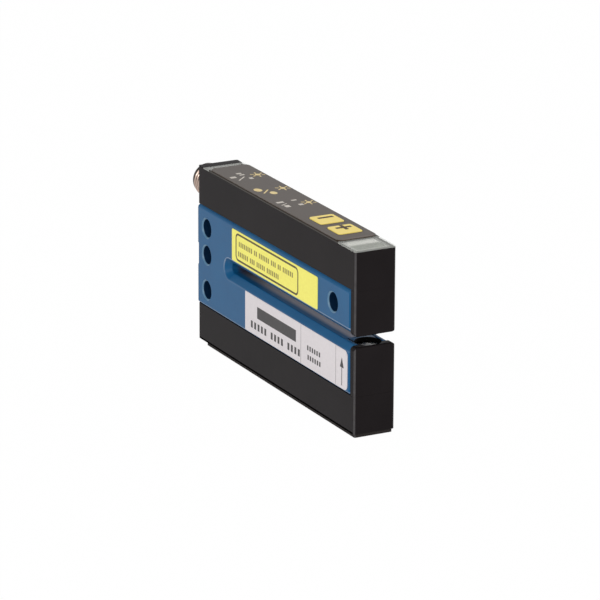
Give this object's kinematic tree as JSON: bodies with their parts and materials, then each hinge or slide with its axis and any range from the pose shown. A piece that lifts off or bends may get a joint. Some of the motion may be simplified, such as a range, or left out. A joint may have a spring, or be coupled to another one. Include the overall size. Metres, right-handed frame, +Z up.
{
  "type": "fork sensor",
  "caption": "Slim fork sensor: long bevelled slot between its arms, blue metal body, black housings, top keypad with minus and plus keys, side screw holes and a threaded plug at the back.",
  "frame": {"origin": "middle of the underside of the bottom cover, on which the sensor stands", "axes": "+X from the back towards the open fork tips, +Y away from the labelled side, +Z up towards the keypad"},
  "size_m": [0.0796, 0.0103, 0.0419],
  "materials": {
    "blue_metal": "satin blue paint on die-cast aluminium",
    "black_plastic": "satin moulded",
    "clear_plastic": "clear polished",
    "dark_foil": "glossy printed foil",
    "key_yellow": "satin",
    "inner_plastic": "moulded",
    "switch_metal": "stamped",
    "board": "solder resist",
    "led_green": "clear",
    "led_yellow": "clear",
    "white_plastic": "milky",
    "optic_glass": "polished",
    "gold_metal": "gold plated",
    "can_metal": "nickel plated",
    "cream_plastic": "moulded",
    "flex_film": "film",
    "plug_metal": "nickel plated",
    "seal_rubber": "matt",
    "screw_steel": "plated",
    "label_yellow": "printed film",
    "label_white": "printed film"
  },
  "bodies": {
    "sensor": {"fork_body": "blue_metal", "upper_housing": "black_plastic", "lower_housing": "black_plastic", "bottom_cover": "black_plastic", "emitter_holder": "black_plastic", "receiver_holder": "black_plastic", "clear_lid": "clear_plastic", "keypad_foil": "dark_foil", "minus_switch": "switch_metal", "plus_switch": "switch_metal", "main_board": "board", "receiver_board": "board", "controller_chip": "inner_plastic", "driver_chip": "inner_plastic", "power_led": "led_green", "output_led": "led_yellow", "light_guide": "white_plastic", "emitter_window": "optic_glass", "collimator_lens": "optic_glass", "laser_diode": "gold_metal", "receiver_window": "optic_glass", "receiver_lens": "optic_glass", "photodiode": "can_metal", "link_plug": "cream_plastic", "receiver_plug": "cream_plastic", "link_flex": "flex_film", "connector_shell": "plug_metal", "connector_insert": "black_plastic", "connector_pin_1": "gold_metal", "connector_pin_2": "gold_metal", "connector_pin_3": "gold_metal", "connector_pin_4": "gold_metal", "connector_seal": "seal_rubber", "upper_screw_back": "screw_steel", "upper_screw_front": "screw_steel", "lower_screw_back": "screw_steel", "lower_screw_front": "screw_steel", "yellow_label": "label_yellow", "white_label": "label_white"},
    "minus_button": {"minus_key": "key_yellow", "minus_plunger": "inner_plastic"},
    "plus_button": {"plus_key": "key_yellow", "plus_plunger": "inner_plastic"}
  },
  "joints": [
    {"name": "minus_button_press", "type": "slide", "parent": "sensor", "child": "minus_button", "axis": [0, 0, -1], "range_m": [0, 0.00025], "stiffness_N_per_m": 800, "springref_m": -0.0005},
    {"name": "plus_button_press", "type": "slide", "parent": "sensor", "child": "plus_button", "axis": [0, 0, -1], "range_m": [0, 0.00025], "stiffness_N_per_m": 800, "springref_m": -0.0005}
  ]
}
